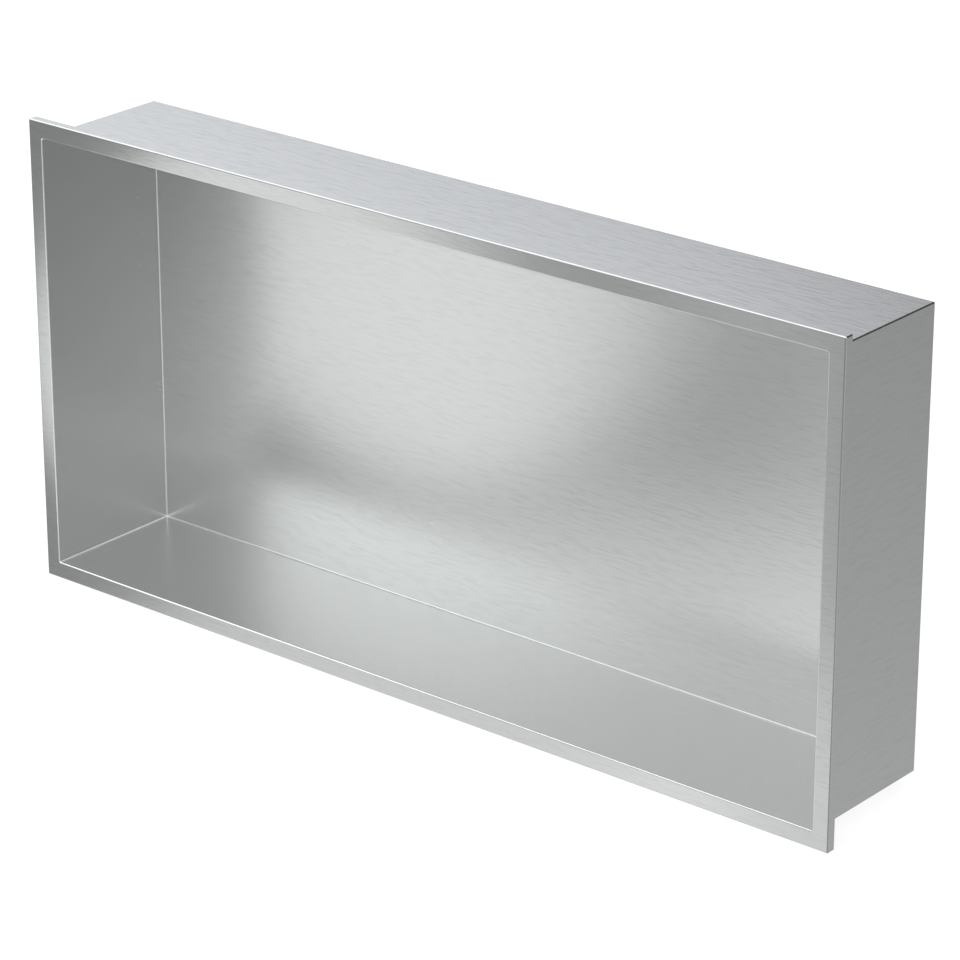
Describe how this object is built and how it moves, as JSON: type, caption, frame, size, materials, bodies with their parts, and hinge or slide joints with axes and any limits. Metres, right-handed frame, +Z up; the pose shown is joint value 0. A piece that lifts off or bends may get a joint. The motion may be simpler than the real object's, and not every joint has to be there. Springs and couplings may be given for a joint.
{
  "type": "shower niche insert",
  "caption": "Recessed wall niche folded from one brushed stainless sheet, with a flat flange and return lip around a rectangular storage recess.",
  "frame": {"origin": "centre of the flange's seat, in the plane of the return lip's rear rim that rests on the finished wall", "axes": "+X to the right and +Z up as seen from the room, +Y into the wall; the recess opens along -Y"},
  "size_m": [0.61, 0.1, 0.305],
  "materials": {
    "brushed_stainless": "horizontal brushed grain, satin"
  },
  "bodies": {
    "root": {"niche_insert": "brushed_stainless"}
  },
  "joints": []
}
